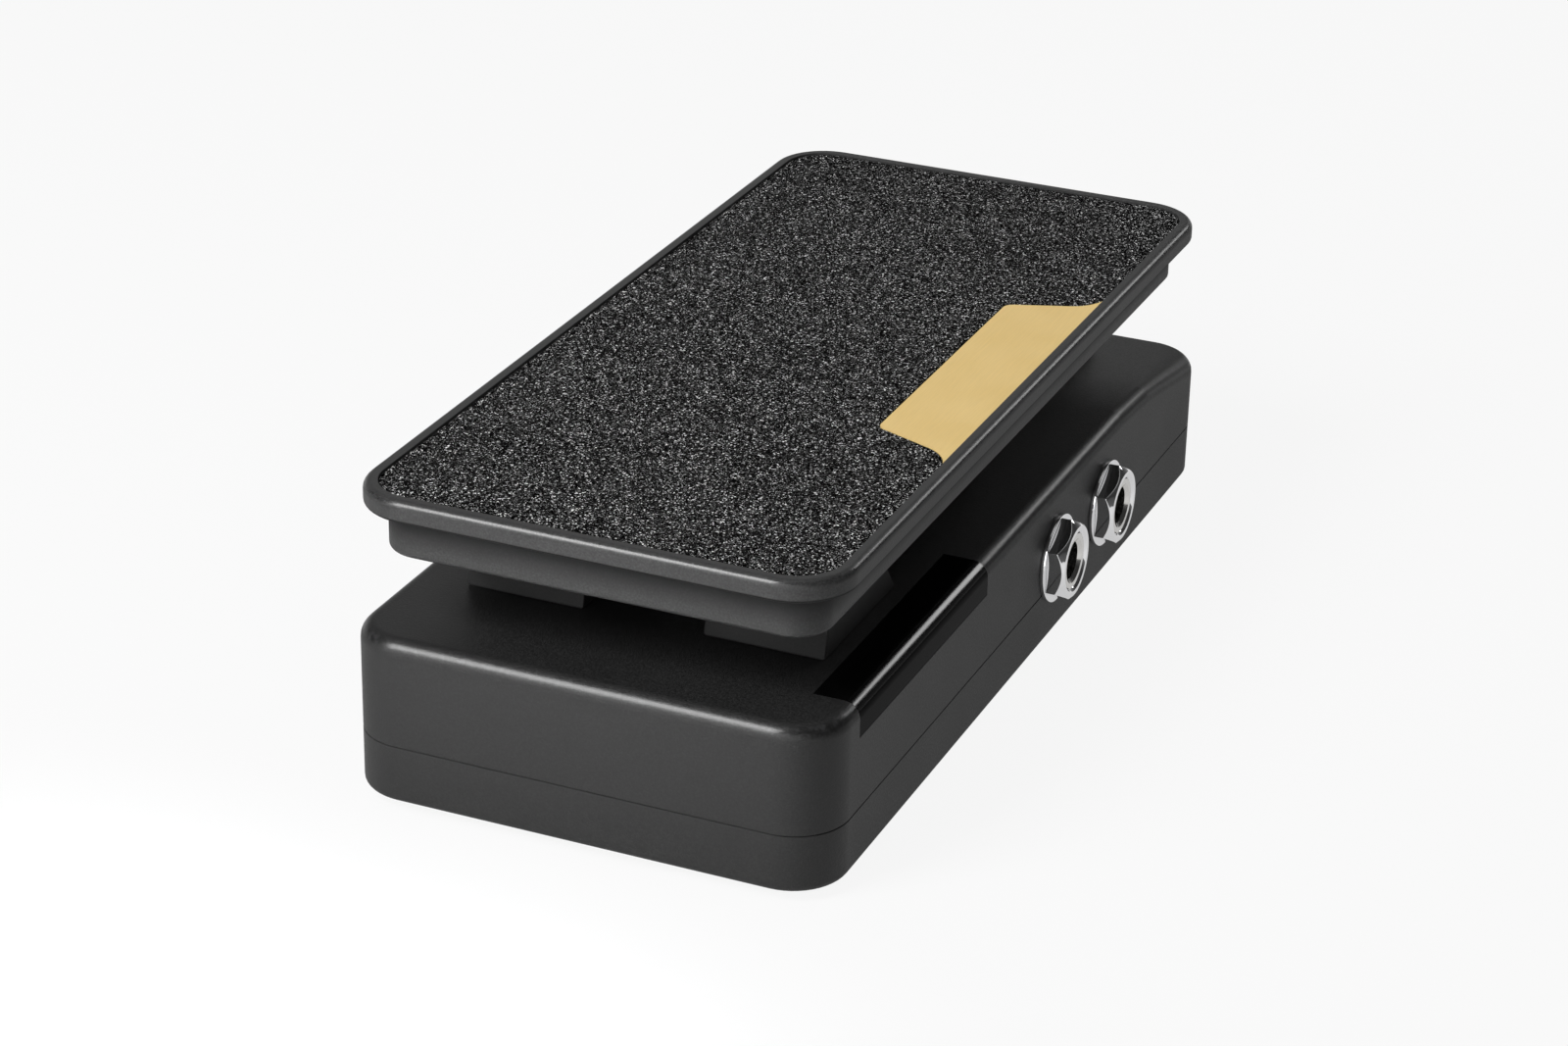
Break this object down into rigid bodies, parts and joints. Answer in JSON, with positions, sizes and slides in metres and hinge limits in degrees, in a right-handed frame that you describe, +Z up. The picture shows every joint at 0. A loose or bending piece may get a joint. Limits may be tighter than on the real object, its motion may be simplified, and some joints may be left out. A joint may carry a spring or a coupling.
{
  "type": "volume pedal",
  "caption": "Low rectangular foot pedal: a rocking treadle with a grit sheet turns a potentiometer by a sector gear, with plug sockets in the sides of its base.",
  "frame": {"origin": "on the floor under the middle of the base, at the bottom faces of the rubber feet", "axes": "+Z up, +Y from the heel end to the toe end, +X towards the face with the expression and input sockets"},
  "size_m": [0.0876, 0.177, 0.0518],
  "materials": {
    "charcoal_paint": "satin charcoal powder coat",
    "black_steel": "black oxide",
    "rubber": "matt moulded rubber",
    "black_gloss": "polished smoked acrylic",
    "circuit": "solder mask",
    "led_white": "clear resin over phosphor",
    "steel": "zinc plated",
    "black_plastic": "moulded",
    "nickel": "nickel plated",
    "chrome": "polished chrome",
    "nylon": "moulded nylon",
    "grit": "black abrasive grit",
    "gold_plate": "brushed gold anodised"
  },
  "bodies": {
    "base": {"housing": "charcoal_paint", "bottom_cover": "charcoal_paint", "cover_screws": "black_steel", "rubber_feet": "rubber", "indicator_window": "black_gloss", "led_board": "circuit", "indicator_leds": "led_white", "led_screws": "steel", "board_header": "black_plastic", "expression_jack": "nickel", "input_jack": "nickel", "output_jack": "nickel", "jack_washers": "chrome", "jack_nuts": "chrome", "power_inlet": "black_plastic", "main_board": "circuit", "board_screws": "steel", "board_components": "black_plastic", "pivot_bracket": "steel", "bracket_screws": "steel", "axle_bushings": "nylon", "heel_stops": "rubber", "toe_stops": "rubber", "pot_body": "steel", "pot_nut": "steel", "pot_bracket": "steel", "pot_bracket_screws": "steel"},
    "treadle": {"treadle": "charcoal_paint", "grip_sheet": "grit", "badge_plate": "gold_plate", "pivot_axle": "steel", "axle_clips": "steel", "axle_set_screws": "steel", "sector_gear": "nylon", "gear_screws": "steel"},
    "pot_shaft": {"pot_shaft": "steel", "pinion_gear": "nylon", "pinion_set_screw": "steel"}
  },
  "joints": [
    {"name": "treadle_rock", "type": "hinge", "parent": "base", "child": "treadle", "pos_m": [0, 0, 0.0361], "axis": [-1, 0, 0], "range_deg": [-6, 8]},
    {"name": "pot_spin", "type": "hinge", "parent": "base", "child": "pot_shaft", "pos_m": [0, -0.01334, 0.01555], "axis": [-1, 0, 0], "range_deg": [-36, 28]}
  ],
  "couplings": [
    {"joint": "pot_spin", "follows": "treadle_rock", "ratio": -4}
  ]
}
